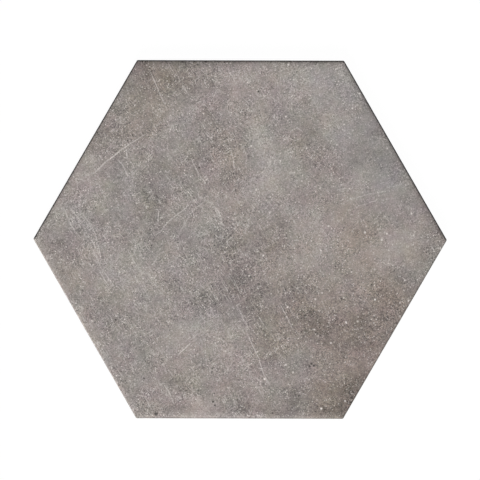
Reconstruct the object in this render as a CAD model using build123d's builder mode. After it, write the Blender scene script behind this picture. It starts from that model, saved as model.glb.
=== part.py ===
"""Regular hexagonal porcelain stoneware floor tile, pressed and fired in one piece.

The tile lies face up on its back. Two corners point along X and two sides are
square to Y. The origin is the middle of the back, with +Z out of the face.
All sizes are in millimetres, and angles in degrees.

The face is flat in the middle and rolls down softly towards each side, where a
broad round arris meets an upright land. Below the land the side drafts inwards,
and a chamfer leads to the back. The back is pressed with a honeycomb key
pattern: hexagonal pockets with drafted walls, cut off by a plain rim, between
ribs that are level with it.
"""

import os
from math import ceil, radians, sqrt, tan

from build123d import *

# Outline, seen from above
across_flats = 240.0  # between opposite sides, at the lands
corner_radius = 1.0  # rounds the six upright corners

# Section through a side
thickness = 9.5
roll_width = 4.2  # how far from the side the face starts to roll down
roll_drop = 1.05  # how far below the face the roll ends
arris_radius = 2.2
land_height = 5.2  # from the level of the face down to the end of the land
side_draft = 5.0  # leans in below the land
back_chamfer = 0.9

# Key pattern in the back
cell_pitch = 18.0  # between the middles of neighbouring pockets
rib_width = 2.5  # between two pockets, at the level of the back
key_depth = 0.8
key_draft = 30.0  # leans the pocket walls in
rim_width = 6.0  # between the pockets and the chamfer
least_pocket = 0.3  # share of a whole pocket below which a cut-off one is left out

half_flats = across_flats / 2
half_corners = half_flats * 2 / sqrt(3)
draft_inset = (thickness - land_height) * tan(radians(side_draft))
half_back = half_flats - draft_inset - back_chamfer  # of the flat part of the back


def key_centres():
    """Lists the middles of the pockets that cover the field inside the rim."""
    row_pitch = cell_pitch * sqrt(3) / 2
    rings = ceil((half_back - rim_width) / row_pitch)
    centres = []
    for row in range(-rings, rings + 1):
        pockets = 2 * rings + 1 - abs(row)
        first = -(pockets - 1) / 2 * cell_pitch
        centres += [(first + i * cell_pitch, row * row_pitch) for i in range(pockets)]
    return centres


# Section from one side of the tile to the opposite one
with BuildSketch() as side_section:
    with BuildLine():
        face_end = (half_flats - roll_width, thickness)
        side_top = (half_flats, thickness - roll_drop)
        land_end = (half_flats, thickness - land_height)
        back_corner = (half_flats - draft_inset, 0)
        Polyline((0, 0), (0, thickness), face_end)
        TangentArc(face_end, side_top, tangent=(1, 0))
        Polyline(side_top, land_end, back_corner, (0, 0))
    make_face()
    fillet(vertices().sort_by_distance(side_top)[0], arris_radius)
    chamfer(vertices().sort_by_distance(back_corner)[0], back_chamfer)
    mirror(about=Plane.YZ)

# Honeycomb, its pockets turned to share their sides, inside the plain rim
with BuildSketch() as key_pattern:
    with Locations(*key_centres()):
        RegularPolygon((cell_pitch - rib_width) / 2, 6, major_radius=False, rotation=30)
    RegularPolygon(half_back - rim_width, 6, major_radius=False, mode=Mode.INTERSECT)
whole_pocket = (cell_pitch - rib_width) ** 2 * sqrt(3) / 2
pockets = key_pattern.faces().filter_by(lambda face: face.area > least_pocket * whole_pocket)

with BuildPart() as hexagonal_tile:
    # Pressed blank with upright sides
    with BuildSketch(Plane.XY):
        RegularPolygon(half_flats, 6, major_radius=False)
        fillet(vertices(), corner_radius)
    extrude(amount=thickness)

    # Each pair of opposite sides takes the section
    for turn in (0, 60, 120):
        with BuildSketch(Plane.YZ.rotated((0, 0, turn))):
            add(side_section.sketch)
        extrude(amount=half_corners, both=True, mode=Mode.INTERSECT)

    extrude(pockets, amount=key_depth, taper=key_draft, mode=Mode.SUBTRACT)

hexagonal_tile.part.label = "hexagonal_tile"

os.makedirs("parts", exist_ok=True)
export_step(hexagonal_tile.part, "parts/hexagonal_tile.step")
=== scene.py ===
"""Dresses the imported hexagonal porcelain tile: its pressed shape, its print and the studio.

The tile lies face up on its back, with two corners along X, and the camera looks
straight down on it. Places on the face are in millimetres from its middle, with X
to the right and Y up in the picture. Everything else is in metres.
"""

from collections import namedtuple
from math import asin, ceil, cos, pi, radians, sin, sqrt, tan

import bmesh
import bpy
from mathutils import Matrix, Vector


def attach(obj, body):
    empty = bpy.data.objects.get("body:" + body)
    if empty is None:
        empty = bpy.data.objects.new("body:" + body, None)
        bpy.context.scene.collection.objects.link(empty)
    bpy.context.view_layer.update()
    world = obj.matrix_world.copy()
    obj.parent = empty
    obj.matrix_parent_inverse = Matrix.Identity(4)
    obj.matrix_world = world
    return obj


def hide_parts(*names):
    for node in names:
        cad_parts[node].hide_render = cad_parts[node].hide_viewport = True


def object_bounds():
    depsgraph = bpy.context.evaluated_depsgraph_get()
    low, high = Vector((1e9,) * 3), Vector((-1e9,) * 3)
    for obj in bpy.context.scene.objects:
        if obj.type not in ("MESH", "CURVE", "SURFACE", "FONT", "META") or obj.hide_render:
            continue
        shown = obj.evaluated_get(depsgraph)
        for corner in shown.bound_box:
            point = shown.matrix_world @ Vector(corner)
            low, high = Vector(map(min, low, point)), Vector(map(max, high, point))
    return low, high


bl_info = {
    "name": "Cement-look hexagonal tile",
    "version": (1, 0, 0),
    "blender": (4, 5, 0),
    "location": "3D View > Sidebar > Tile",
    "description": "Models a pressed porcelain tile with a worn cement print and lights it",
    "category": "Add Mesh",
}

NODE = "hexagonal_tile"
MM = 0.001

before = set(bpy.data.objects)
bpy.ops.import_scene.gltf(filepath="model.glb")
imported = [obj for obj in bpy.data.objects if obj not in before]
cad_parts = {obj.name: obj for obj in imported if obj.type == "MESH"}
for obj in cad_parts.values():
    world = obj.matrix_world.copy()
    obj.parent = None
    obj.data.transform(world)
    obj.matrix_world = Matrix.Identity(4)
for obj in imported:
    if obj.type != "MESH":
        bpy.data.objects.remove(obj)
CAD_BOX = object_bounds()
HALF_FLATS = CAD_BOX[1].y
THICKNESS = CAD_BOX[1].z

# The level of the face in millimetres, where the marks and pits lie.
FACE_LEVEL = THICKNESS / MM

# Patterns drawn from above reach this far up and down in millimetres, so that they
# stay the same over the rolled edge.
TALL = 1000

# Places closer than this are the same, in metres.
CLOSE = 1e-5

# Half the angle of one side of the hexagon, seen from its middle.
HALF_SIDE = radians(30)

# A soft cloud of shade in the print: its middle, its reach along and across, the
# turn of its long way, and how much darker (below 0) or lighter the cement is there.
# The long thin ones along the sides are painted light and painted shade on the rolled edge.
Cloud = namedtuple("Cloud", "x y along across turn change")

CLOUDS = (
    Cloud(-50, 113, 34, 13, 0, -0.26),
    Cloud(-66, 98, 22, 16, 50, -0.11),
    Cloud(-17, 63, 20, 13, 90, -0.17),
    Cloud(-57, 10, 26, 10, 95, -0.22),
    Cloud(40, 66, 16, 11, -20, -0.13),
    Cloud(64, 41, 17, 13, 40, -0.06),
    Cloud(92, 73, 34, 11, -60, -0.04),
    Cloud(0, -31, 24, 20, 70, -0.31),
    Cloud(22, -3, 16, 12, 60, -0.11),
    Cloud(-10, -4, 16, 14, 0, -0.16),
    Cloud(49, -54, 14, 12, 0, -0.24),
    Cloud(47, -33, 13, 9, 10, -0.24),
    Cloud(78, -60, 40, 24, 20, -0.18),
    Cloud(64, -84, 46, 28, 50, -0.15),
    Cloud(57, -86, 13, 15, -60, 0.09),
    Cloud(71, -111, 25, 14, 60, -0.42),
    Cloud(97, -34, 16, 10, 60, -0.13),
    Cloud(128, -2, 20, 10, 90, -0.16),
    Cloud(-124, -4, 13, 10, 0, -0.18),
    Cloud(-90, 73, 20, 10, 60, -0.11),
    Cloud(-24, -42, 15, 8, 15, -0.17),
    Cloud(-38, -97, 17, 10, -30, -0.15),
    Cloud(0, -111, 18, 10, 0, -0.16),
    Cloud(17, -76, 14, 11, 60, -0.20),
    Cloud(40, -108, 18, 12, 0, -0.16),
    Cloud(-92, 7, 18, 9, 20, -0.07),
    Cloud(-22, 98, 12, 12, 0, -0.11),
    Cloud(-7, 40, 12, 12, 0, -0.15),
    Cloud(-77, 64, 18, 16, 40, -0.12),
    Cloud(-57, 34, 16, 11, 90, -0.10),
    Cloud(79, -48, 16, 12, 60, -0.06),
    Cloud(28, -48, 24, 20, 0, -0.24),
    # Painted shade in thin strips along the bottom and lower right sides, on the rolled edge
    Cloud(0, -116, 60, 6, 0, -0.10),
    Cloud(103, -59, 60, 5, 60, -0.07),
    Cloud(98, -50, 28, 15, 60, -0.13),
    Cloud(-101, 45, 21, 13, -60, 0.15),
    Cloud(-76, -19, 30, 22, 10, 0.14),
    Cloud(12, 70, 13, 12, 0, 0.19),
    Cloud(22, 44, 26, 18, 80, 0.24),
    # Painted light in a broad strip along the top side, beside the rolled edge
    Cloud(46, 105, 60, 18, 0, 0.16),
    Cloud(66, 80, 20, 16, 0, 0.15),
    Cloud(20, 88, 12, 14, 0, -0.06),
    Cloud(53, 8, 30, 18, 80, 0.16),
    Cloud(104, -4, 24, 11, 28, 0.31),
    Cloud(82, 36, 18, 14, 0, 0.20),
    Cloud(81, 18, 10, 10, 0, 0.07),
    Cloud(44, 40, 14, 12, 0, 0.13),
    # Painted light in thin strips along the lower left, upper left and top sides, on the rolled
    # edge
    Cloud(-103, -59, 60, 4, -60, 0.05),
    Cloud(-102, 59, 60, 3, 60, 0.07),
    Cloud(0, 113, 60, 8, 0, 0.05),
    Cloud(-15, 14, 12, 9, 0, 0.04),
    Cloud(-24, -61, 24, 14, 10, 0.16),
    Cloud(-26, -112, 13, 10, 0, 0.25),
    Cloud(-46, -13, 12, 10, 60, 0.16),
    Cloud(-38, -76, 20, 14, -20, 0.11),
    Cloud(-4, -78, 20, 14, 30, 0.11),
    Cloud(-118, 22, 16, 14, 0, 0.11),
    Cloud(-64, -46, 18, 14, 0, 0.07),
)

# Where the print is calmer, with a smaller change from grain to grain.
CALM = (
    Cloud(94, 52, 70, 44, -60, -0.33),
    Cloud(66, -94, 44, 30, 20, -0.20),
    Cloud(-52, 104, 26, 18, 0, -0.20),
)

# A stain of another tone in the print, with how strongly it colours the cement.
Stain = namedtuple("Stain", "tone x y along across turn strength")

STAINS = (
    Stain("moss", -66, -10, 66, 80, 0, 0.22),
    Stain("moss", 26, 78, 50, 30, 20, 0.22),
    Stain("moss", 19, 50, 30, 18, 75, 0.36),
    Stain("moss", 84, 24, 22, 14, 0, 0.14),
    Stain("moss", 22, 24, 14, 14, 0, 0.14),
    Stain("steel", 93, 62, 46, 20, -60, 0.13),
    Stain("moss", 40, 113, 36, 8, 0, 0.22),
    Stain("steel", 66, 104, 34, 14, 0, 0.18),
    Stain("steel", 92, 42, 22, 16, 0, 0.12),
    Stain("slate", -27, -53, 18, 14, 0, 0.22),
    Stain("slate", -24, -4, 22, 16, 60, 0.18),
    Stain("slate", -76, -78, 20, 14, 0, 0.14),
    Stain("slate", -108, 12, 22, 14, 0, 0.18),
    Stain("slate", -76, 36, 22, 12, 90, 0.16),
    Stain("slate", -40, 70, 18, 12, 30, 0.16),
    Stain("slate", 68, 68, 14, 14, 0, 0.32),
    Stain("earth", -52, 109, 20, 12, 0, 0.60),
    Stain("ochre", -66, 82, 24, 16, 40, 0.45),
    Stain("ochre", -7, 64, 12, 14, 0, 0.30),
    Stain("ochre", 42, 64, 14, 9, -40, 0.36),
    Stain("ochre", 24, -9, 12, 14, 0, 0.30),
    Stain("ochre", 20, -72, 18, 10, 60, 0.34),
    Stain("ochre", -34, -95, 18, 10, -20, 0.30),
    Stain("umber", -112, -26, 14, 14, 0, 0.26),
    Stain("ochre", 112, -8, 14, 9, 0, 0.22),
    Stain("rust", 76, 2, 24, 13, -70, 0.46),
    Stain("rust", 100, -41, 26, 15, -60, 0.48),
    Stain("umber", 68, -60, 54, 42, -30, 0.50),
    Stain("umber", 42, -50, 24, 14, 0, 0.30),
    Stain("moss", 56, -22, 16, 28, 0, 0.20),
    Stain("moss", 23, -100, 10, 8, 0, 0.30),
    Stain("moss", 42, -78, 11, 8, 60, 0.30),
    Stain("moss", 9, 70, 12, 8, 60, 0.24),
    Stain("umber", 84, -74, 26, 16, 60, 0.28),
    Stain("earth", 68, -110, 30, 22, 60, 0.80),
    Stain("umber", -8, 48, 24, 10, 90, 0.30),
    Stain("rose", -6, 90, 24, 22, -30, 0.38),
    Stain("rose", -9, 40, 18, 22, 0, 0.34),
    Stain("rose", -4, -78, 30, 18, 20, 0.42),
    Stain("rose", -42, -108, 28, 14, 0, 0.34),
    Stain("umber", -58, -112, 14, 8, 0, 0.16),
    Stain("umber", 14, -114, 26, 8, 0, 0.18),
    Stain("rose", -106, 30, 12, 10, 0, 0.26),
    Stain("rose", 50, 26, 30, 20, 60, 0.14),
    Stain("rose", -56, -52, 20, 16, 0, 0.28),
    Stain("rose", -80, 66, 20, 14, 50, 0.30),
    Stain("umber", 0, -22, 24, 34, 0, 0.28),
    Stain("mauve", 1, -31, 26, 18, 70, 0.38),
    Stain("mauve", 30, 80, 26, 11, -50, 0.42),
    Stain("mauve", 118, -4, 16, 10, 0, 0.24),
    Stain("rose", -122, -4, 12, 10, 0, 0.26),
    Stain("mauve", -84, -16, 14, 9, 0, 0.34),
    Stain("mauve", -40, -16, 12, 9, 0, 0.20),
    Stain("mauve", 32, -16, 10, 9, 0, 0.32),
)

# A pale mark worn into the print: its width, its strength and the points it runs through.
Mark = namedtuple("Mark", "width strength points")

MARKS = (
    Mark(0.7, 0.7, ((-99, 43), (-89, 52.5))),
    Mark(0.65, 1.0, ((-93, 49), (-89, 52.5), (-77, 61.5), (-63.5, 70.5))),
    Mark(0.6, 1.0, ((-77, 61.8), (-76.2, 58.5), (-75.6, 54))),
    Mark(0.6, 0.9, ((-82, 53), (-78.5, 49.5), (-75, 41.5))),
    Mark(0.6, 0.5, ((-94, 33), (-90, 27))),
    Mark(0.6, 0.6, ((-112, 41), (-108, 40), (-103, 39.5))),
    Mark(0.6, 0.9, ((-54.5, 20), (-55, 10))),
    Mark(0.6, 0.65, ((-60.5, 112), (-56, 102), (-53, 95), (-49.5, 88))),
    Mark(0.5, 0.6, ((-39, 103), (-34.5, 96.5))),
    Mark(0.6, 0.5, ((-33, 54), (-26, 40))),
    Mark(0.6, 0.6, ((-55, 3), (-48, 12), (-36, 21), (-35, 24))),
    Mark(0.6, 1.0, ((-17, 22), (-14, 18), (-11, 8))),
    Mark(1.5, 0.35, ((-17, 22), (-12, 9))),
    Mark(0.6, 0.3, ((-36, 24), (-26, 28), (-18, 24))),
    Mark(0.6, 0.5, ((-40, 5), (-34.5, 15), (-29.5, 21.5), (-21, 27))),
    Mark(0.6, 0.4, ((-52, 14), (-45, 18), (-38, 14), (-36, 8))),
    Mark(0.6, 0.6, ((-99, -6), (-94, -17))),
    Mark(0.55, 0.5, ((-95, -20), (-87.5, -32))),
    Mark(0.55, 0.6, ((-92.5, -19.5), (-83.5, -33))),
    Mark(0.6, 0.5, ((-76, -6), (-68, -20))),
    Mark(0.6, 0.6, ((-118, 21), (-113, 9), (-106, 0))),
    Mark(0.6, 0.6, ((-109, 18), (-97, 4), (-94, -7), (-93, -17))),
    Mark(0.6, 0.4, ((-104, 14), (-93, 3))),
    Mark(0.5, 0.5, ((-113, 20), (-106, 11), (-101, 6))),
    Mark(0.5, 0.5, ((-107, 19), (-100, 9), (-97, 4))),
    Mark(0.55, 0.6, ((-103, 5), (-98, -3), (-94, -11))),
    Mark(1.2, 0.4, ((-96, -11), (-94, -18))),
    Mark(0.6, 1.0, ((-42, -78), (-32.5, -69))),
    Mark(0.55, 0.5, ((-34, -68.5), (-28, -63))),
    Mark(0.55, 0.7, ((-52, -95), (-47, -103), (-43.5, -111))),
    Mark(0.6, 0.5, ((-20, -34), (-14, -41))),
    Mark(0.6, 0.5, ((-8, -24), (-1, -33))),
    Mark(0.6, 0.4, ((-11, -36), (-7, -42))),
    Mark(0.6, 0.5, ((-4, -27), (1, -38))),
    Mark(0.55, 0.5, ((-3, -42), (3, -54), (7, -62))),
    Mark(0.55, 0.7, ((4, -60), (8, -70), (12.5, -79), (16, -90), (20.5, -98))),
    Mark(0.5, 0.45, ((3.5, -86), (9.5, -81.5))),
    Mark(0.55, 0.45, ((11, -49), (18, -60))),
    Mark(0.6, 0.7, ((27, -43), (36, -61))),
    Mark(0.6, 0.4, ((31, -42), (38, -55))),
    Mark(0.55, 0.45, ((54.5, -40.5), (59, -51.5))),
    Mark(0.6, 0.5, ((-9, 70), (-5, 55), (-4, 44))),
    Mark(0.5, 0.4, ((68, 25), (84, 30), (99, 33))),
    Mark(0.5, 0.3, ((72, 20), (90, 26), (104, 28))),
    Mark(0.5, 0.3, ((62, 33), (75, 35))),
    Mark(0.6, 0.5, ((33, 72), (38, 75), (42, 72))),
    Mark(0.6, 0.5, ((31, 69), (36, 66), (41, 68))),
    Mark(0.6, 0.4, ((42, 62), (46, 59), (50, 60))),
    Mark(0.6, 0.4, ((36, 48), (39, 46), (43, 47))),
    Mark(0.5, 0.3, ((-5, 50), (-3, 42), (-1, 37))),
    Mark(0.6, 0.4, ((-22, -2), (-14, 2), (-8, -1))),
    Mark(0.5, 0.4, ((-88, -50), (-80, -64))),
    Mark(0.5, 0.4, ((-74, -55), (-68, -66))),
    Mark(0.5, 0.3, ((-20, -80), (-12, -92))),
    Mark(0.5, 0.3, ((-60, 74), (-50, 80))),
    Mark(0.55, 0.6, ((-12, 68.5), (-8.5, 60))),
)

# A dark pit in the print: its place and its width.
Pit = namedtuple("Pit", "x y width")

PITS = (
    Pit(-56.0, -116.8, 2.8),
    Pit(-17.8, -108.5, 1.9),
    Pit(-16.5, -111.0, 1.5),
    Pit(48.0, -83.0, 2.1),
    Pit(49.6, -84.2, 1.8),
    Pit(46.8, -84.6, 1.7),
    Pit(-27.5, 48.0, 1.6),
    Pit(-83.0, -54.0, 1.6),
    Pit(12.0, 99.0, 1.6),
    Pit(-64.0, -93.0, 1.4),
    Pit(22.0, -116.0, 1.5),
    Pit(88.0, -30.0, 1.3),
)

# How strongly each layer of the print shows.
CLOUDING = 0.5
MOTTLING = 0.14
TINTING = 0.022
GRAINING = 1.47
PEPPERING = 0.42
HAIRINESS = 0.7
SPECKLING = 0.9
MARKING = 0.85
PITTING = 0.95
BRIGHTNESS = 0.952


def length(name, description, millimetres):
    """A length that a user may change."""
    return bpy.props.FloatProperty(
        name=name, description=description, default=millimetres * MM, unit="LENGTH"
    )


def angle(name, description, degrees):
    """An angle that a user may change."""
    return bpy.props.FloatProperty(
        name=name, description=description, default=radians(degrees), subtype="ANGLE"
    )


def swatch(name, description, red, green, blue):
    """A colour that a user may change."""
    return bpy.props.FloatVectorProperty(
        name=name,
        description=description,
        default=(red, green, blue, 1),
        size=4,
        min=0,
        max=1,
        subtype="COLOR",
    )


class TileSizes(bpy.types.PropertyGroup):
    """Sizes of the pressed piece, as its solid has them"""

    corner_radius: length("Corner radius", "Rounds the upright corners", 1.0)
    roll_width: length("Roll width", "How far from the side the face rolls down", 4.2)
    roll_drop: length("Roll drop", "How far below the face the roll ends", 1.05)
    arris_radius: length("Arris radius", "Rounds the edge of the face", 2.2)
    land_height: length("Land height", "From the face to the end of the land", 5.2)
    side_draft: angle("Side draft", "Leans in below the land", 5)
    back_chamfer: length("Back chamfer", "Cut along the edge of the back", 0.9)
    cell_pitch: length("Cell pitch", "Between the middles of the key pattern's pockets", 18.0)
    rib_width: length("Rib width", "Between two pockets", 2.5)
    key_depth: length("Key depth", "How deep the pockets are", 0.8)
    key_draft: angle("Key draft", "Leans the pocket walls in", 30)
    rim_width: length("Rim width", "Plain rim round the pockets", 6.0)
    face_cuts: bpy.props.IntProperty(
        name="Face cuts",
        description="How finely the face is divided for its relief",
        default=100,
        min=1,
        max=100,
    )
    relief_depth: length("Relief depth", "Depth of the gentle waves of the face", 0.16)
    relief_size: length("Relief size", "Size of the gentle waves of the face", 14.0)


class FinishColours(bpy.types.PropertyGroup):
    """Colours of the print and of the fired body"""

    cement: swatch("Cement", "Ground of the print", 0.282, 0.247, 0.229)
    body: swatch("Body", "Fired body on the sides and the back", 0.50, 0.465, 0.43)
    pale: swatch("Pale", "Marks, hairs and specks of the print", 0.76, 0.71, 0.675)
    soot: swatch("Soot", "Pits and dark grains", 0.055, 0.047, 0.042)
    steel: swatch("Steel", "Cool blue-grey stains", 0.250, 0.285, 0.315)
    slate: swatch("Slate", "Lavender-grey stains", 0.290, 0.285, 0.300)
    earth: swatch("Earth", "Brown stains", 0.300, 0.240, 0.195)
    ochre: swatch("Ochre", "Olive and sand stains", 0.330, 0.285, 0.220)
    rust: swatch("Rust", "Orange-brown stains", 0.345, 0.270, 0.220)
    umber: swatch("Umber", "Red-brown stains", 0.345, 0.268, 0.224)
    rose: swatch("Rose", "Pinkish stains", 0.345, 0.285, 0.275)
    mauve: swatch("Mauve", "Purple-grey stains", 0.310, 0.262, 0.268)
    moss: swatch("Moss", "Green-grey stains", 0.295, 0.290, 0.262)


class StageSettings(bpy.types.PropertyGroup):
    """Camera, floor and light"""

    picture_width: length("Picture width", "Width of floor in the picture", 321.0)
    camera_height: length("Camera height", "Above the floor", 1600)
    camera_turn: angle("Camera turn", "About the line of sight", 0.17)
    camera_right: length("Camera right", "Beside the middle of the tile", -0.07)
    camera_up: length("Camera up", "Up the picture from the middle of the tile", -0.37)
    key_strength: bpy.props.FloatProperty(
        name="Key strength", description="Of the soft lamp in front", default=3.29, min=0
    )
    key_azimuth: angle("Key azimuth", "Where the key stands, from +X", -104)
    key_elevation: angle("Key elevation", "How high the key stands", 35)
    key_softness: angle("Key softness", "Angle that the lamp fills", 24)
    overhead_strength: bpy.props.FloatProperty(
        name="Overhead strength", description="Of the broad lamp above", default=0.88, min=0
    )
    overhead_softness: angle("Overhead softness", "Angle that the broad lamps fill", 60)
    underneath_strength: bpy.props.FloatProperty(
        name="Underneath strength", description="Of the lamp on the back", default=1.2, min=0
    )
    fill_strength: bpy.props.FloatProperty(
        name="Fill strength", description="Of the even light all round", default=0.08, min=0
    )
    floor: swatch("Floor", "The studio floor in the light that it throws back", 0.4, 0.4, 0.4)


# Shader wiring


class Wiring:
    """Adds nodes to a tree. What an input is given is its value, or the socket that feeds it."""

    def __init__(self, tree):
        self.tree = tree

    def add(self, kind, inputs=None, **fields):
        node = self.tree.nodes.new("ShaderNode" + kind)
        for field, value in fields.items():
            setattr(node, field, value)
        self.feed(node, inputs or {})
        return node

    def feed(self, node, inputs):
        for name, value in inputs.items():
            if isinstance(value, bpy.types.NodeSocket):
                self.tree.links.new(value, node.inputs[name])
            else:
                node.inputs[name].default_value = value

    def math(self, operation, *values):
        return self.add("Math", dict(enumerate(values)), operation=operation).outputs[0]

    def within(self, value):
        """The value, but no less than 0 and no more than 1."""
        return self.math("MINIMUM", self.math("MAXIMUM", value, 0.0), 1.0)

    def highest(self, values):
        """The highest of several values, compared as they come, so that few are kept at a time."""
        top = 0.0
        for value in values:
            top = self.math("MAXIMUM", top, value)
        return top

    def vector(self, operation, *values):
        node = self.add("VectorMath", dict(enumerate(values)), operation=operation)
        plain = operation in ("DOT_PRODUCT", "LENGTH", "DISTANCE")
        return node.outputs["Value" if plain else "Vector"]

    def scaled(self, vector, scale):
        node = self.add("VectorMath", {0: vector, "Scale": scale}, operation="SCALE")
        return node.outputs["Vector"]

    def lane(self, place, turn, reach, start=(0, 0, 0)):
        """The place seen from a lane that starts there, is turned that way and has that reach."""
        node = self.add(
            "Mapping",
            {"Vector": place, "Location": start, "Rotation": turn, "Scale": reach},
            vector_type="TEXTURE",
        )
        return node.outputs[0]

    def fade(self, value, low, high, start=0.0, end=1.0):
        """start up to where value is low, end from where it is high, and a smooth way between."""
        node = self.add(
            "MapRange",
            {0: value, 1: low, 2: high, 3: start, 4: end},
            interpolation_type="SMOOTHSTEP",
            clamp=False,
        )
        return node.outputs[0]

    def mix(self, share, under, over, blend="MIX"):
        node = self.add("Mix", {0: share, 6: under, 7: over}, data_type="RGBA", blend_type=blend)
        return node.outputs[2]

    def elsewhere(self, place, times=1):
        """Another place, where a texture has other waves and cells."""
        return self.vector("ADD", place, (0, 0, 500 * times))

    def noise(self, place, size, detail=2.0, roughness=0.5):
        """Noise with waves of that size in millimetres."""
        return self.add(
            "TexNoise",
            {"Vector": place, "Scale": 1 / size, "Detail": detail, "Roughness": roughness},
        )

    def group(self, tree, inputs):
        node = self.add("Group", node_tree=tree)
        self.feed(node, inputs)
        return node.outputs[0]


def new_group(name, inputs, output):
    """An empty shader group with inputs given as (label, kind, default), and one number out.

    Returns the group, its wiring, its inputs by label and its output node.
    """
    group = bpy.data.node_groups.new(name, "ShaderNodeTree")
    for label, kind, default in inputs:
        socket = group.interface.new_socket(
            label, in_out="INPUT", socket_type="NodeSocket" + kind
        )
        socket.default_value = default
    group.interface.new_socket(output, in_out="OUTPUT", socket_type="NodeSocketFloat")
    given = group.nodes.new("NodeGroupInput").outputs
    made = group.nodes.new("NodeGroupOutput")
    return group, Wiring(group), {label: given[label] for label, _, _ in inputs}, made


def cloud_group():
    """A soft-edged oval, 1 in its middle and 0 at its edge."""
    group, w, given, made = new_group(
        "Soft cloud",
        [
            ("Place", "Vector", (0, 0, 0)),
            ("Middle", "Vector", (0, 0, 0)),
            ("Turn", "Vector", (0, 0, 0)),
            ("Reach", "Vector", (10, 10, TALL)),
        ],
        "Mask",
    )
    oval = w.lane(given["Place"], given["Turn"], given["Reach"], given["Middle"])
    fall = w.add("TexGradient", {"Vector": oval}, gradient_type="SPHERICAL")
    w.feed(made, {"Mask": w.fade(fall.outputs["Fac"], 0.0, 1.0)})
    return group


def mark_group():
    """A stretch of a mark, from its start to its end.

    From and To say which share of the whole mark it runs, which fades out at both ends.
    """
    group, w, given, made = new_group(
        "Worn mark",
        [
            ("Place", "Vector", (0, 0, 0)),
            ("Start", "Vector", (0, 0, 0)),
            ("End", "Vector", (1, 0, 0)),
            ("From", "Float", 0.0),
            ("To", "Float", 1.0),
            ("Width", "Float", 0.8),
        ],
        "Mask",
    )
    along = w.vector("SUBTRACT", given["End"], given["Start"])
    here = w.vector("SUBTRACT", given["Place"], given["Start"])
    reached = w.vector("DOT_PRODUCT", here, along)
    share = w.within(w.math("DIVIDE", reached, w.vector("DOT_PRODUCT", along, along)))
    aside = w.vector("LENGTH", w.vector("SUBTRACT", here, w.scaled(along, share)))
    line = w.fade(w.math("DIVIDE", aside, given["Width"]), 0.0, 1.0, 1.0, 0.0)
    span = w.math("SUBTRACT", given["To"], given["From"])
    run = w.math("MULTIPLY_ADD", share, span, given["From"])
    taper = w.math("POWER", w.math("SINE", w.math("MULTIPLY", run, pi)), 0.4)
    w.feed(made, {"Mask": w.math("MULTIPLY", line, taper)})
    return group


def speck_group():
    """Round specks of differing size and strength, one at most in each cell."""
    group, w, given, made = new_group(
        "Specks",
        [
            ("Place", "Vector", (0, 0, 0)),
            ("Spacing", "Float", 2.5),
            ("Size", "Float", 0.5),
            ("Share", "Float", 0.5),
        ],
        "Mask",
    )
    cells = w.add(
        "TexVoronoi", {"Vector": given["Place"], "Scale": w.math("DIVIDE", 1.0, given["Spacing"])}
    )
    away = w.math("MULTIPLY", cells.outputs["Distance"], given["Spacing"])
    luck = w.add("SeparateColor", {0: cells.outputs["Color"]}).outputs
    size = w.math("MULTIPLY", given["Size"], w.math("ADD", luck[1], 0.4))
    spot = w.fade(w.math("DIVIDE", away, size), 0.3, 1.0, 1.0, 0.0)
    kept = w.math("LESS_THAN", luck[0], given["Share"])
    strength = w.math("MULTIPLY_ADD", w.math("POWER", luck[2], 1.3), 0.8, 0.2)
    w.feed(made, {"Mask": w.math("MULTIPLY", w.math("MULTIPLY", spot, kept), strength)})
    return group


def stroke_group():
    """Short strokes side by side, like the hairs of a brush dragged one way."""
    group, w, given, made = new_group(
        "Strokes",
        [
            ("Place", "Vector", (0, 0, 0)),
            ("Turn", "Vector", (0, 0, 0)),
            ("Reach", "Vector", (8, 1, TALL)),
            ("Share", "Float", 0.5),
        ],
        "Mask",
    )
    lane = w.lane(given["Place"], given["Turn"], given["Reach"])
    cells = w.add("TexVoronoi", {"Vector": lane, "Scale": 1.0})
    luck = w.add("SeparateColor", {0: cells.outputs["Color"]}).outputs
    hair = w.fade(cells.outputs["Distance"], 0.1, 0.42, 1.0, 0.0)
    kept = w.math("LESS_THAN", luck[0], given["Share"])
    strength = w.math("MULTIPLY_ADD", w.math("POWER", luck[2], 2.0), 0.85, 0.15)
    w.feed(made, {"Mask": w.math("MULTIPLY", w.math("MULTIPLY", hair, kept), strength)})
    return group


def curl_group():
    """Curled hairs that break off, of about that size and width."""
    group, w, given, made = new_group(
        "Curled hairs",
        [
            ("Place", "Vector", (0, 0, 0)),
            ("Size", "Float", 5.0),
            ("Width", "Float", 0.5),
        ],
        "Mask",
    )
    waves = w.scaled(given["Place"], w.math("DIVIDE", 1.0, given["Size"]))
    level = w.noise(waves, 1.0, 1.0).outputs["Fac"]
    aside = w.math("MULTIPLY", w.math("ABSOLUTE", w.math("SUBTRACT", level, 0.5)), given["Size"])
    hair = w.fade(w.math("DIVIDE", aside, given["Width"]), 0.0, 0.8, 1.0, 0.0)
    breaks = w.noise(w.elsewhere(waves), 0.4, 1.0).outputs["Fac"]
    w.feed(made, {"Mask": w.math("MULTIPLY", hair, w.fade(breaks, 0.5, 0.65))})
    return group


def grain_group():
    """Fired grain, from below 0 where it is dark to above 0 where it is light."""
    group, w, given, made = new_group(
        "Fired grain", [("Place", "Vector", (0, 0, 0)), ("Size", "Float", 1.0)], "Grain"
    )
    finely = w.math("DIVIDE", 1.0, given["Size"])
    cells = w.add("TexVoronoi", {"Vector": given["Place"], "Scale": finely})
    luck = w.add("SeparateColor", {0: cells.outputs["Color"]}).outputs[0]
    fine = w.noise(w.scaled(given["Place"], finely), 1.3, 2.0, 0.8).outputs["Fac"]
    even = w.math("MULTIPLY_ADD", luck, 0.5, -0.65)
    w.feed(made, {"Grain": w.math("MULTIPLY_ADD", fine, 0.8, even)})
    return group


def face_place(w):
    """The place on the tile, in millimetres."""
    return w.scaled(w.add("TexCoord").outputs["Object"], 1 / MM)


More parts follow.
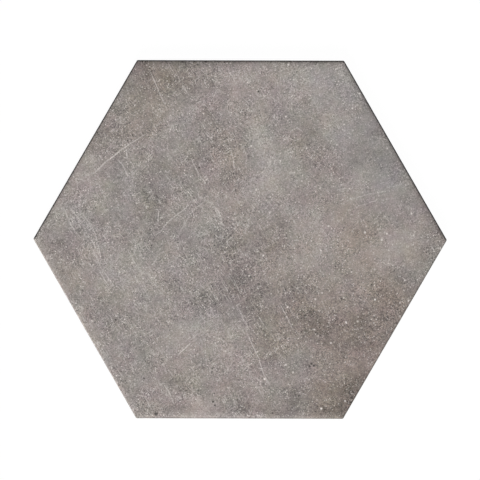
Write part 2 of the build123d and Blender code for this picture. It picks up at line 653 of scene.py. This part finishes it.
def wandered(w, place, size, reach):
    """The place moved by up to about reach, in waves of that size, for a wavering drawing."""
    waver = w.noise(place, size, 3.0, 0.6).outputs["Color"]
    aside = w.vector("SUBTRACT", waver, (0.5, 0.5, 0.5))
    return w.vector("ADD", place, w.scaled(aside, reach * 2))


def drawn_clouds(w, place, groups, spot):
    """The soft oval of a cloud or a stain, which fades away past its reach."""
    spread = 1.5
    return w.group(
        groups["cloud"],
        {
            "Place": place,
            "Middle": (spot.x, spot.y, 0),
            "Turn": (0, 0, radians(spot.turn)),
            "Reach": (spot.along * spread, spot.across * spread, TALL),
        },
    )


def drawn_marks(w, place, groups):
    """The stretches of the worn marks, one after the other."""
    for mark in MARKS:
        ends = list(zip(mark.points, mark.points[1:]))
        for i, (start, end) in enumerate(ends):
            mask = w.group(
                groups["mark"],
                {
                    "Place": place,
                    "Start": (*start, FACE_LEVEL),
                    "End": (*end, FACE_LEVEL),
                    "From": i / len(ends),
                    "To": (i + 1) / len(ends),
                    "Width": mark.width,
                },
            )
            yield w.math("MULTIPLY", mask, mark.strength)


def drawn_pits(w, place):
    """The dark pits, one after the other."""
    for pit in PITS:
        away = w.vector("DISTANCE", place, (pit.x, pit.y, FACE_LEVEL))
        yield w.fade(away, pit.width * 0.2, pit.width * 0.6, 1.0, 0.0)


def drawn_hairs(w, place, groups):
    """The straight strokes and the curled hairs, one direction or size after the other."""
    bent = wandered(w, place, 16.0, 2.5)
    stroke_width, curl_width = 0.42, 0.22
    for turn, reach, share, strength in (
        (116, 24, 0.16, 0.7),
        (118, 7, 0.5, 0.85),
        (132, 9, 0.4, 0.85),
        (42, 8, 0.35, 0.85),
        (80, 5, 0.3, 0.8),
    ):
        mask = w.group(
            groups["stroke"],
            {
                "Place": bent,
                "Turn": (0, 0, radians(turn)),
                "Reach": (reach, stroke_width, TALL),
                "Share": share,
            },
        )
        yield w.math("MULTIPLY", mask, strength)
    for size, times in ((4.0, 1), (2.6, 2)):
        there = w.elsewhere(place, times)
        mask = w.group(groups["curl"], {"Place": there, "Size": size, "Width": curl_width})
        yield w.math("MULTIPLY", mask, 0.2)


def drawn_specks(w, place, groups):
    """The small and the large pale specks, and the few bright ones."""
    for spacing, size, strength in ((1.9, 0.48, 1.0), (4.3, 0.8, 1.0), (4.9, 0.8, 1.35)):
        mask = w.group(
            groups["speck"], {"Place": place, "Spacing": spacing, "Size": size, "Share": 0.5}
        )
        yield w.math("MULTIPLY", mask, strength)


def new_material(name):
    """A material with its wiring and its shader."""
    material = bpy.data.materials.new(name)
    material.use_nodes = True
    return material, Wiring(material.node_tree), material.node_tree.nodes["Principled BSDF"]


def printed_cement(colours, groups):
    """The matt print of worn cement: clouds, stains, hairs, specks, marks and pits."""
    material, w, shader = new_material("printed_cement")
    place = face_place(w)

    # Shade: clouds where the print has them, painted light and shade along the sides, and finer
    # clouds and mottling all over
    drifted = wandered(w, place, 22.0, 9.0)
    shade = w.noise(place, 34.0, 5.0, 0.95).outputs["Fac"]
    shade = w.math("MULTIPLY_ADD", shade, CLOUDING, -CLOUDING / 2)
    mottle = w.fade(w.noise(w.elsewhere(place, 4), 11.0, 2.0, 0.6).outputs["Fac"], 0.4, 0.6)
    shade = w.math("ADD", shade, w.math("MULTIPLY_ADD", mottle, MOTTLING, -MOTTLING / 2))
    for cloud in CLOUDS:
        mask = drawn_clouds(w, drifted, groups, cloud)
        shade = w.math("MULTIPLY_ADD", mask, cloud.change, shade)

    # Tone: stains where the print has them, and a little of every tone all over
    tone = colours.cement
    for stain in STAINS:
        share = w.math("MULTIPLY", drawn_clouds(w, drifted, groups, stain), stain.strength)
        tone = w.mix(share, tone, getattr(colours, stain.tone))
    tint = w.noise(w.elsewhere(place), 15.0, 2.0, 0.7).outputs["Color"]
    tone = w.mix(TINTING, tone, tint, "LINEAR_LIGHT")

    # Hairs lie mostly on the left and specks on the right, and both gather in places
    side = w.add("SeparateXYZ", {0: wandered(w, place, 45.0, 40.0)}).outputs["X"]
    left, right = -60.0, 50.0
    specked = w.fade(side, left, right, 0.36, 0.85)
    brushed = w.fade(side, -10.0, 90.0, 1.0, 0.4)
    calm = 1.0
    for cloud in CALM:
        mask = drawn_clouds(w, drifted, groups, cloud)
        calm = w.math("MULTIPLY_ADD", mask, cloud.change, calm)
    gathered = w.noise(w.elsewhere(place, 2), 13.0, 3.0, 0.7).outputs["Fac"]
    gathered = w.math("MULTIPLY", w.fade(gathered, 0.38, 0.62, 0.65, 1.25), calm)
    hairs = w.math("MULTIPLY", w.highest(drawn_hairs(w, place, groups)), brushed)
    specks = w.math("MULTIPLY", w.highest(drawn_specks(w, place, groups)), specked)
    grain = w.group(groups["grain"], {"Place": place, "Size": 0.62})
    grain = w.math("MULTIPLY", grain, gathered)
    salt = w.group(
        groups["speck"], {"Place": place, "Spacing": 1.05, "Size": 0.43, "Share": 0.6}
    )
    pepper = w.group(
        groups["speck"],
        {"Place": w.elsewhere(place, 3), "Spacing": 1.35, "Size": 0.55, "Share": 0.6},
    )
    pepper = w.math("MULTIPLY", pepper, gathered)

    shade = w.math("MULTIPLY_ADD", grain, GRAINING, shade)
    shade = w.math("MULTIPLY_ADD", pepper, -PEPPERING, shade)
    tone = w.mix(1.0, tone, w.math("ADD", shade, BRIGHTNESS), "MULTIPLY")
    hairs = w.math("MULTIPLY", hairs, HAIRINESS)
    specks = w.math("MULTIPLY", specks, SPECKLING)
    pale = w.math("MAXIMUM", hairs, specks)
    salt = w.math("MULTIPLY", salt, w.fade(side, left, right, 1.0, 0.84))
    pale = w.math("MAXIMUM", pale, salt)
    tone = w.mix(w.within(w.math("MULTIPLY", pale, gathered)), tone, colours.pale)

    # Marks and pits
    rubbed = wandered(w, place, 9.0, 0.5)
    marks = w.highest(drawn_marks(w, rubbed, groups))
    marks = w.math("MULTIPLY", marks, w.fade(grain, -0.25, 0.1, 0.45, 1.0))
    tone = w.mix(w.math("MULTIPLY", marks, MARKING), tone, colours.pale)
    dots = w.group(
        groups["speck"], {"Place": rubbed, "Spacing": 4.3, "Size": 0.8, "Share": 0.1}
    )
    pits = w.math("MAXIMUM", w.highest(drawn_pits(w, place)), w.math("MULTIPLY", dots, 0.8))
    tone = w.mix(w.math("MULTIPLY", pits, PITTING), tone, colours.soot)

    # Painted light and shade on the arris, for the key light from the lower left: painted shade,
    # nearly black, on the three upper sides, a little painted shade on two of the lower ones,
    # and a painted highlight on the lower left one
    axes = w.add("SeparateXYZ", {0: place}).outputs
    lower = w.fade(axes["X"], -75.0, -65.0, 1.45, 0.68)
    upper = w.fade(axes["X"], -75.0, -65.0, 0.05, 0.12)
    painted_light_by_side = w.fade(axes["Y"], -1.5, 1.5, lower, upper)
    # The painted light and shade lie only on the arris, below the flat of the face
    painted_edge_light = w.fade(axes["Z"], FACE_LEVEL - 1.0, FACE_LEVEL - 0.7, painted_light_by_side, 1.0)
    tone = w.mix(1.0, tone, painted_edge_light, "MULTIPLY")

    height = w.math("MULTIPLY_ADD", pits, -0.15, w.math("MULTIPLY", grain, 0.12))
    bump = w.add("Bump", {"Strength": 0.6, "Distance": 1 * MM, "Height": height})
    w.feed(
        shader,
        {
            "Base Color": tone,
            "Roughness": w.math("MULTIPLY_ADD", grain, 0.3, 0.62),
            "Normal": bump.outputs[0],
        },
    )
    return material


def fired_body(colours, groups):
    """Bare porcelain stoneware, dusty and finely grained."""
    material, w, shader = new_material("fired_body")
    place = face_place(w)
    grain = w.group(groups["grain"], {"Place": place, "Size": 0.9})
    dust = w.noise(place, 18.0, 5.0, 0.6).outputs["Fac"]
    tone = w.mix(w.fade(dust, 0.3, 0.7, 0.0, 0.4), colours.body, colours.cement)
    specks = w.group(
        groups["speck"], {"Place": place, "Spacing": 1.6, "Size": 0.4, "Share": 0.35}
    )
    tone = w.mix(w.math("MULTIPLY", specks, 0.5), tone, colours.soot)
    bump = w.add(
        "Bump", {"Strength": 0.5, "Distance": 1 * MM, "Height": w.math("MULTIPLY", grain, 0.15)}
    )
    w.feed(
        shader,
        {
            "Base Color": tone,
            "Roughness": w.math("MULTIPLY_ADD", grain, 0.2, 0.85),
            "Normal": bump.outputs[0],
        },
    )
    return material


# Modelling


def deselect():
    bpy.ops.object.select_all(action="DESELECT")


def edit(piece):
    """Opens the piece for editing, with nothing selected."""
    deselect()
    bpy.context.view_layer.objects.active = piece
    piece.select_set(True)
    bpy.ops.object.mode_set(mode="EDIT")
    bpy.ops.mesh.select_all(action="DESELECT")


def close():
    bpy.ops.object.mode_set(mode="OBJECT")


def pick(kind, wanted):
    """Selects the edges or faces of the open mesh that are wanted."""
    bpy.ops.mesh.select_mode(type=kind)
    mesh = bmesh.from_edit_mesh(bpy.context.object.data)
    for element in mesh.edges if kind == "EDGE" else mesh.faces:
        element.select_set(wanted(element))
    mesh.select_flush_mode()
    bmesh.update_edit_mesh(bpy.context.object.data)


def finish_modifier(piece, kind, **fields):
    """Adds a modifier with these fields and applies it."""
    modifier = piece.modifiers.new(kind.title(), kind)
    for field, value in fields.items():
        setattr(modifier, field, value)
    bpy.context.view_layer.objects.active = piece
    bpy.ops.object.modifier_apply(modifier=modifier.name)


def corner_reach(half):
    """From the middle of a hexagon to its corners, for that half width across its flats."""
    return half / cos(HALF_SIDE)


def on_arc(middle, radius, lean):
    """The place on an arc of the section, at that lean away from straight up."""
    return middle[0] + radius * sin(lean), middle[1] + radius * cos(lean)


def section_rings(sizes):
    """The lines along the sides, from the back up to the flat of the face.

    Each has its half width across the flats and its height. Also returns which of them
    is the top of the arris.
    """
    inset = (THICKNESS - sizes.land_height) * tan(sizes.side_draft)
    roll_radius = (sizes.roll_width**2 + sizes.roll_drop**2) / (2 * sizes.roll_drop)
    roll_middle = (HALF_FLATS - sizes.roll_width, THICKNESS - roll_radius)
    apart = roll_radius - sizes.arris_radius
    steep = asin((sizes.roll_width - sizes.arris_radius) / apart)
    arris_middle = (HALF_FLATS - sizes.arris_radius, roll_middle[1] + apart * cos(steep))
    rings = [
        (HALF_FLATS - inset - sizes.back_chamfer, 0.0),
        (
            HALF_FLATS - inset + sizes.back_chamfer * sin(sizes.side_draft),
            sizes.back_chamfer * cos(sizes.side_draft),
        ),
        (HALF_FLATS, THICKNESS - sizes.land_height),
    ]
    arris_steps, roll_steps = 8, 7
    for step in range(arris_steps):
        lean = pi / 2 + (steep - pi / 2) * step / arris_steps
        rings.append(on_arc(arris_middle, sizes.arris_radius, lean))
    arris_top = len(rings)
    for step in range(roll_steps + 1):
        lean = steep * (1 - step / roll_steps)
        rings.append(on_arc(roll_middle, roll_radius, lean))
    return rings, arris_top


def pressed_blank(sizes):
    """The blank, drawn up ring by ring from the back to the face, with rounded corners."""
    rings, arris_top = section_rings(sizes)
    half, height = rings[0]
    deselect()
    bpy.ops.mesh.primitive_circle_add(
        vertices=6, radius=corner_reach(half), fill_type="NGON", rotation=(0, 0, HALF_SIDE)
    )
    blank = bpy.context.object
    bpy.ops.object.transform_apply(rotation=True)
    edit(blank)
    bpy.ops.mesh.select_all(action="SELECT")
    for next_half, next_height in rings[1:]:
        rise = (0, 0, next_height - height)
        bpy.ops.mesh.extrude_region_move(TRANSFORM_OT_translate={"value": rise})
        grow = next_half / half
        bpy.ops.transform.resize(value=(grow, grow, 1), center_override=(0, 0, 0))
        half, height = next_half, next_height
    bpy.ops.mesh.poke()
    roll_start = rings[arris_top][1] + CLOSE

    def upright(edge):
        low, high = sorted(v.co.z for v in edge.verts)
        return high - low > CLOSE and high < roll_start

    pick("EDGE", upright)
    bpy.ops.mesh.bevel(offset=sizes.corner_radius * tan(HALF_SIDE), segments=3, affect="EDGES")
    bpy.ops.mesh.select_all(action="SELECT")
    bpy.ops.mesh.normals_make_consistent()
    close()
    return blank


def drafted_plug(half, sizes, turn):
    """A hexagonal plug that fills a pocket of that half width, and reaches below the back."""
    below = sizes.rib_width / 4
    lean = tan(sizes.key_draft)
    deselect()
    bpy.ops.mesh.primitive_cone_add(
        vertices=6,
        radius1=corner_reach(half + below * lean),
        radius2=corner_reach(half - sizes.key_depth * lean),
        depth=sizes.key_depth + below,
        location=(0, 0, (sizes.key_depth - below) / 2),
        rotation=(0, 0, turn),
    )
    bpy.ops.object.transform_apply(location=True, rotation=True)
    return bpy.context.object


def press_key(blank, sizes):
    """Presses the honeycomb key pattern into the back, up to its plain rim."""
    rings, _ = section_rings(sizes)
    field_half = rings[0][0] - sizes.rim_width
    row_pitch = sizes.cell_pitch * sqrt(3) / 2
    next_cell = (sizes.cell_pitch / 2, row_pitch, 0)
    plug = drafted_plug((sizes.cell_pitch - sizes.rib_width) / 2, sizes, 0)
    edit(plug)
    bpy.ops.mesh.select_all(action="SELECT")
    bpy.ops.mesh.duplicate_move(TRANSFORM_OT_translate={"value": next_cell})
    columns = ceil(corner_reach(field_half) / sizes.cell_pitch)
    rows = ceil(field_half / row_pitch / 2)
    bpy.ops.mesh.select_all(action="SELECT")
    bpy.ops.transform.translate(value=(-columns * sizes.cell_pitch, -rows * 2 * row_pitch, 0))
    close()
    for count, step in (
        (2 * columns + 1, (sizes.cell_pitch, 0, 0)),
        (2 * rows + 1, (0, 2 * row_pitch, 0)),
    ):
        finish_modifier(
            plug,
            "ARRAY",
            count=count,
            use_relative_offset=False,
            use_constant_offset=True,
            constant_offset_displace=step,
        )
    field = drafted_plug(field_half, sizes, HALF_SIDE)
    finish_modifier(plug, "BOOLEAN", operation="INTERSECT", object=field)
    finish_modifier(blank, "BOOLEAN", operation="DIFFERENCE", object=plug)
    bpy.data.objects.remove(field)
    bpy.data.objects.remove(plug)


def divide_face(tile, sizes):
    """Divides the face and the lines along the sides finely enough for the relief."""
    back = sizes.back_chamfer / 2

    def long_line(edge):
        return edge.calc_length() > HALF_FLATS / 2 and min(v.co.z for v in edge.verts) > back

    edit(tile)
    pick("EDGE", long_line)
    bpy.ops.mesh.subdivide(number_cuts=sizes.face_cuts)
    close()


def soft_relief(tile, sizes):
    """Sinks the face in gentle waves below its nominal level, and makes its arris waver."""
    flat_half = HALF_FLATS - sizes.roll_width
    easing = 6 * MM
    face = tile.vertex_groups.new(name="face")
    arris = tile.vertex_groups.new(name="arris")
    normals = [Vector((cos(radians(a)), sin(radians(a)), 0)) for a in range(-150, 180, 60)]
    for vertex in tile.data.vertices:
        out = max(vertex.co.dot(normal) for normal in normals)
        if vertex.co.z > THICKNESS - CLOSE and out < flat_half:
            face.add([vertex.index], min(1.0, (flat_half - out) / easing), "REPLACE")
        elif vertex.co.z > THICKNESS - sizes.roll_drop - sizes.arris_radius:
            arris.add([vertex.index], 1.0, "REPLACE")
    for group, direction, size, depth in (
        ("face", "Z", sizes.relief_size, sizes.relief_depth),
        ("arris", "NORMAL", sizes.relief_size / 4, sizes.relief_depth / 2),
    ):
        waves = bpy.data.textures.new(group + "_waves", "CLOUDS")
        waves.noise_scale = size
        waves.noise_depth = 3
        finish_modifier(
            tile,
            "DISPLACE",
            texture=waves,
            texture_coords="LOCAL",
            direction=direction,
            vertex_group=group,
            mid_level=1.0,
            strength=depth,
        )


class TILE_OT_pressed(bpy.types.Operator):
    """Models the pressed tile with its printed face and bare back"""

    bl_idname = "tile.pressed"
    bl_label = "Pressed tile"

    def execute(self, context):
        sizes, colours = context.scene.tile_sizes, context.scene.tile_colours
        tile = pressed_blank(sizes)
        tile.name = tile.data.name = "pressed_tile"
        press_key(tile, sizes)
        divide_face(tile, sizes)
        soft_relief(tile, sizes)
        groups = {
            "cloud": cloud_group(),
            "mark": mark_group(),
            "speck": speck_group(),
            "stroke": stroke_group(),
            "curl": curl_group(),
            "grain": grain_group(),
        }
        tile.data.materials.append(printed_cement(colours, groups))
        tile.data.materials.append(fired_body(colours, groups))
        printed_share = 0.4
        print_edge = THICKNESS - sizes.roll_drop - sizes.arris_radius * printed_share
        for polygon in tile.data.polygons:
            polygon.material_index = 0 if polygon.center.z > print_edge else 1
        deselect()
        tile.select_set(True)
        bpy.ops.object.shade_smooth_by_angle(angle=radians(30))
        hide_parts(NODE)
        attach(tile, "root")
        return {"FINISHED"}


def studio_floor_material(stage):
    """A pale floor that the camera and reflections see as white, with the object's shadow on it.

    From below it is clear, and it lets the light of the lamp underneath through.
    """
    material, w, shader = new_material("studio_floor")
    material.node_tree.nodes.remove(shader)
    path = w.add("LightPath").outputs
    lit = w.add("BsdfDiffuse", {"Color": stage.floor})
    glow = w.add("Emission", {"Strength": 1.0})
    seen = w.math("MAXIMUM", path["Is Camera Ray"], path["Is Glossy Ray"])
    seen = w.math("MAXIMUM", seen, path["Is Transmission Ray"])
    whiteness, lift = 0.93, 0.05
    white = w.add(
        "MixShader",
        {0: w.math("MULTIPLY", seen, whiteness), 1: lit.outputs[0], 2: glow.outputs[0]},
    )
    lifted = w.add("Emission", {"Strength": w.math("MULTIPLY", seen, lift)})
    both = w.add("AddShader", {0: white.outputs[0], 1: lifted.outputs[0]})
    below = w.add("NewGeometry").outputs["Backfacing"]
    through = w.add(
        "MixShader",
        {
            0: w.math("MAXIMUM", below, path["Is Shadow Ray"]),
            1: both.outputs[0],
            2: w.add("BsdfTransparent").outputs[0],
        },
    )
    w.feed(material.node_tree.nodes["Material Output"], {"Surface": through.outputs[0]})
    return material


def studio_world(stage):
    """Even light all round, which the camera and reflections see as white."""
    world = bpy.data.worlds.new("studio_world")
    world.use_nodes = True
    w = Wiring(world.node_tree)
    path = w.add("LightPath").outputs
    seen = w.math("MAXIMUM", path["Is Camera Ray"], path["Is Transmission Ray"])
    background = world.node_tree.nodes["Background"]
    strength = w.math("MULTIPLY_ADD", seen, 1 - stage.fill_strength, stage.fill_strength)
    w.feed(background, {"Color": (1, 1, 1, 1), "Strength": strength})
    return world


def soft_lamp(name, place, turn, strength, softness):
    """A lamp as broad as its softness says, which shines down its own Z."""
    bpy.ops.object.light_add(type="SUN", location=place, rotation=turn)
    lamp = bpy.context.object
    lamp.name = name
    lamp.data.energy = strength
    lamp.data.angle = softness


class TILE_OT_stage(bpy.types.Operator):
    """Sets up the pale floor, the soft light and the camera above the tile"""

    bl_idname = "tile.stage"
    bl_label = "Studio"

    def execute(self, context):
        stage = context.scene.tile_stage
        deselect()
        gap = 0.02 * MM
        bpy.ops.mesh.primitive_plane_add(size=8.0, location=(0, 0, -gap))
        floor = context.object
        floor.name = "studio_floor"
        floor.data.materials.append(studio_floor_material(stage))
        context.scene.world = studio_world(stage)

        toward = Vector(
            (
                cos(stage.key_azimuth) * cos(stage.key_elevation),
                sin(stage.key_azimuth) * cos(stage.key_elevation),
                sin(stage.key_elevation),
            )
        )
        aim = toward.to_track_quat("Z", "Y").to_euler()
        broad = stage.overhead_softness
        soft_lamp("key", toward * 2, aim, stage.key_strength, stage.key_softness)
        soft_lamp("overhead", (0, 0, 2), (0, 0, 0), stage.overhead_strength, broad)
        soft_lamp("underneath", (0, 0, -2), (pi, 0, 0), stage.underneath_strength, broad)

        bpy.ops.object.camera_add(
            location=(stage.camera_right, stage.camera_up, stage.camera_height),
            rotation=(0, 0, stage.camera_turn),
        )
        camera = context.object
        sensor_width = 36
        camera.data.sensor_width = sensor_width
        camera.data.lens = (
            sensor_width * (stage.camera_height - THICKNESS) / stage.picture_width
        )
        context.scene.camera = camera
        context.scene.view_settings.view_transform = "Standard"
        return {"FINISHED"}


class TILE_PT_panel(bpy.types.Panel):
    """Builds the tile and its studio from their settings"""

    bl_idname = "TILE_PT_panel"
    bl_label = "Hexagonal tile"
    bl_space_type = "VIEW_3D"
    bl_region_type = "UI"
    bl_category = "Tile"

    def draw(self, context):
        scene = context.scene
        for group in (scene.tile_sizes, scene.tile_colours, scene.tile_stage):
            box = self.layout.box()
            for name in group.__annotations__:
                box.prop(group, name)
        self.layout.operator(TILE_OT_pressed.bl_idname)
        self.layout.operator(TILE_OT_stage.bl_idname)


CLASSES = (
    TileSizes,
    FinishColours,
    StageSettings,
    TILE_OT_pressed,
    TILE_OT_stage,
    TILE_PT_panel,
)


def register():
    for cls in CLASSES:
        bpy.utils.register_class(cls)
    bpy.types.Scene.tile_sizes = bpy.props.PointerProperty(type=TileSizes)
    bpy.types.Scene.tile_colours = bpy.props.PointerProperty(type=FinishColours)
    bpy.types.Scene.tile_stage = bpy.props.PointerProperty(type=StageSettings)


def unregister():
    del bpy.types.Scene.tile_stage, bpy.types.Scene.tile_colours, bpy.types.Scene.tile_sizes
    for cls in reversed(CLASSES):
        bpy.utils.unregister_class(cls)


def main():
    register()
    bpy.ops.tile.pressed()
    bpy.ops.tile.stage()


if __name__ == "__main__":
    main()
